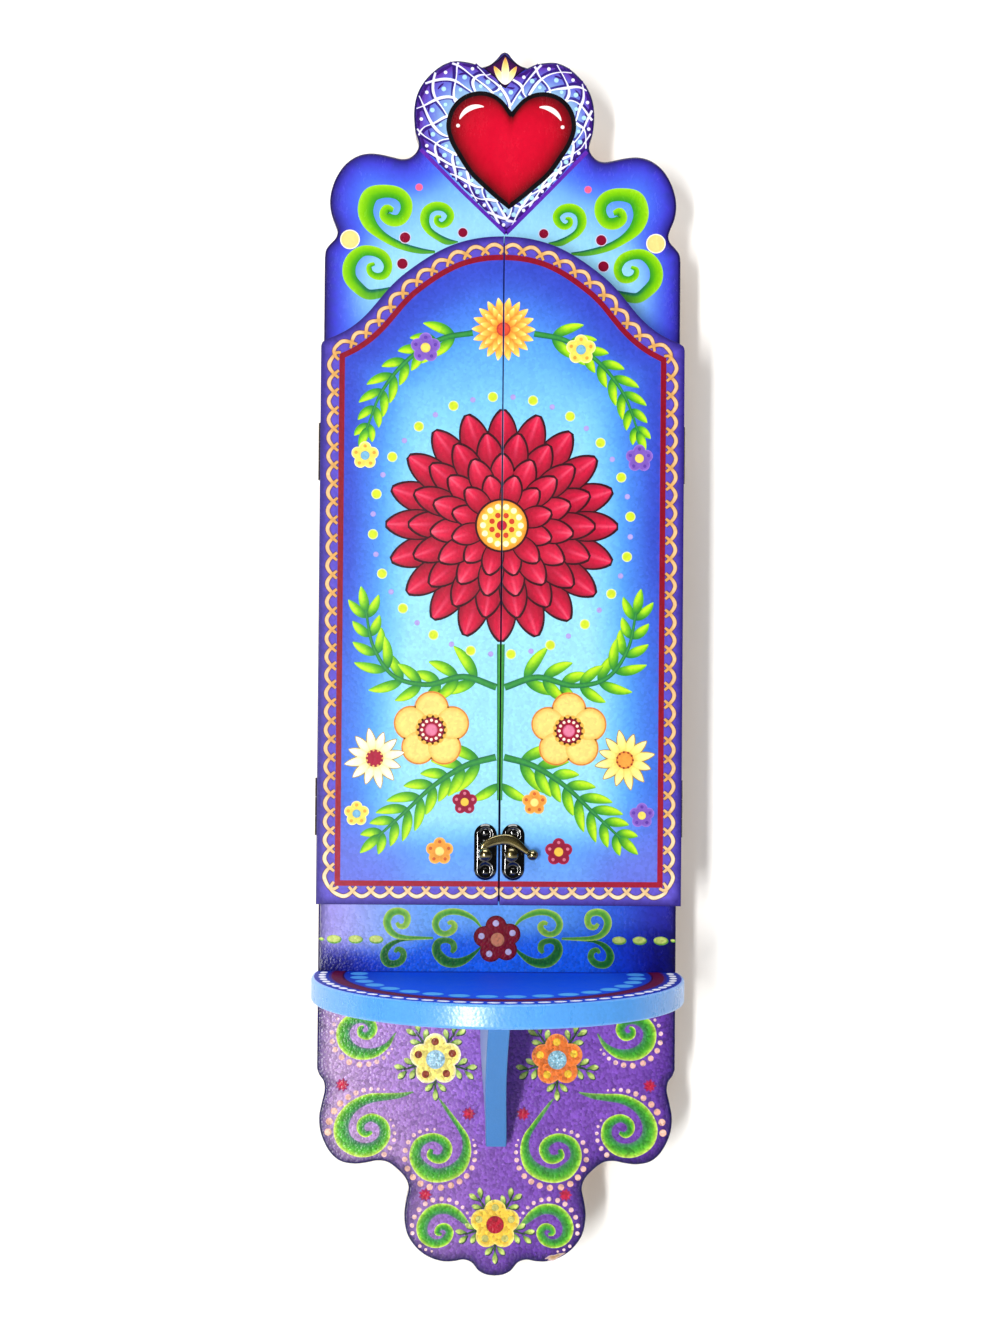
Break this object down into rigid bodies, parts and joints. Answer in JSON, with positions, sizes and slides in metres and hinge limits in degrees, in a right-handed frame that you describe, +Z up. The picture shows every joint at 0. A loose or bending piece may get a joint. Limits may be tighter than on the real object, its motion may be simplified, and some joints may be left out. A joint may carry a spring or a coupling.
{
  "type": "ofrenda wall altar",
  "caption": "Tall painted wooden wall altar: scalloped back board with heart crest, shallow arched cabinet with hinged double doors and swing-hook latch, round shelf on a bracket.",
  "frame": {"origin": "middle of the back board's back face, on the wall plane", "axes": "+Y into the wall (the front faces -Y), +Z up along the board's height, +X to the right seen from the front"},
  "size_m": [0.182, 0.116, 0.6096],
  "materials": {
    "board_paint": "hand-painted violet to sky blue, satin varnish",
    "cabinet_paint": "violet paint, satin varnish",
    "door_paint": "hand-painted royal blue to cyan, satin varnish",
    "shelf_paint": "sky blue paint, gloss varnish",
    "bracket_paint": "mid blue paint, satin varnish",
    "antique_bronze": "antique bronze, rubbed bright on raised parts",
    "hinge_metal": "dark antique bronze",
    "zinc_steel": "zinc plated"
  },
  "bodies": {
    "cabinet": {"back_board": "board_paint", "cabinet_side_left": "cabinet_paint", "cabinet_side_right": "cabinet_paint", "cabinet_floor": "cabinet_paint", "cabinet_arch": "cabinet_paint", "shelf": "shelf_paint", "shelf_bracket": "bracket_paint", "hinge_left_upper_frame_leaf": "hinge_metal", "hinge_left_upper_pin": "hinge_metal", "hinge_left_upper_frame_screw_a": "hinge_metal", "hinge_left_upper_frame_screw_b": "hinge_metal", "hinge_left_lower_frame_leaf": "hinge_metal", "hinge_left_lower_pin": "hinge_metal", "hinge_left_lower_frame_screw_a": "hinge_metal", "hinge_left_lower_frame_screw_b": "hinge_metal", "hinge_right_upper_frame_leaf": "hinge_metal", "hinge_right_upper_pin": "hinge_metal", "hinge_right_upper_frame_screw_a": "hinge_metal", "hinge_right_upper_frame_screw_b": "hinge_metal", "hinge_right_lower_frame_leaf": "hinge_metal", "hinge_right_lower_pin": "hinge_metal", "hinge_right_lower_frame_screw_a": "hinge_metal", "hinge_right_lower_frame_screw_b": "hinge_metal", "hanger_plate": "zinc_steel", "hanger_screw_1": "zinc_steel", "hanger_screw_2": "zinc_steel", "shelf_screw_1": "zinc_steel", "shelf_screw_2": "zinc_steel", "shelf_screw_3": "zinc_steel", "bracket_screw_1": "zinc_steel", "bracket_screw_2": "zinc_steel"},
    "left_door": {"door_left": "door_paint", "hinge_left_upper_door_leaf": "hinge_metal", "hinge_left_upper_door_screw_a": "hinge_metal", "hinge_left_upper_door_screw_b": "hinge_metal", "hinge_left_lower_door_leaf": "hinge_metal", "hinge_left_lower_door_screw_a": "hinge_metal", "hinge_left_lower_door_screw_b": "hinge_metal", "latch_plate_left": "antique_bronze", "latch_nail_left_upper": "antique_bronze", "latch_nail_left_lower": "antique_bronze", "latch_pivot": "antique_bronze"},
    "right_door": {"door_right": "door_paint", "hinge_right_upper_door_leaf": "hinge_metal", "hinge_right_upper_door_screw_a": "hinge_metal", "hinge_right_upper_door_screw_b": "hinge_metal", "hinge_right_lower_door_leaf": "hinge_metal", "hinge_right_lower_door_screw_a": "hinge_metal", "hinge_right_lower_door_screw_b": "hinge_metal", "latch_plate_right": "antique_bronze", "latch_nail_right_upper": "antique_bronze", "latch_nail_right_lower": "antique_bronze", "latch_stud": "antique_bronze"},
    "hook": {"latch_hook": "antique_bronze"}
  },
  "joints": [
    {"name": "left_door_hinge", "type": "hinge", "parent": "cabinet", "child": "left_door", "pos_m": [-0.0886, -0.0246, 0.015], "axis": [0, 0, -1], "range_deg": [0, 180]},
    {"name": "right_door_hinge", "type": "hinge", "parent": "cabinet", "child": "right_door", "pos_m": [0.0886, -0.0246, 0.015], "axis": [0, 0, 1], "range_deg": [0, 180]},
    {"name": "hook_swing", "type": "hinge", "parent": "left_door", "child": "hook", "pos_m": [-0.00685, -0.0345, -0.0941], "axis": [0, -1, 0], "range_deg": [0, 100]}
  ]
}
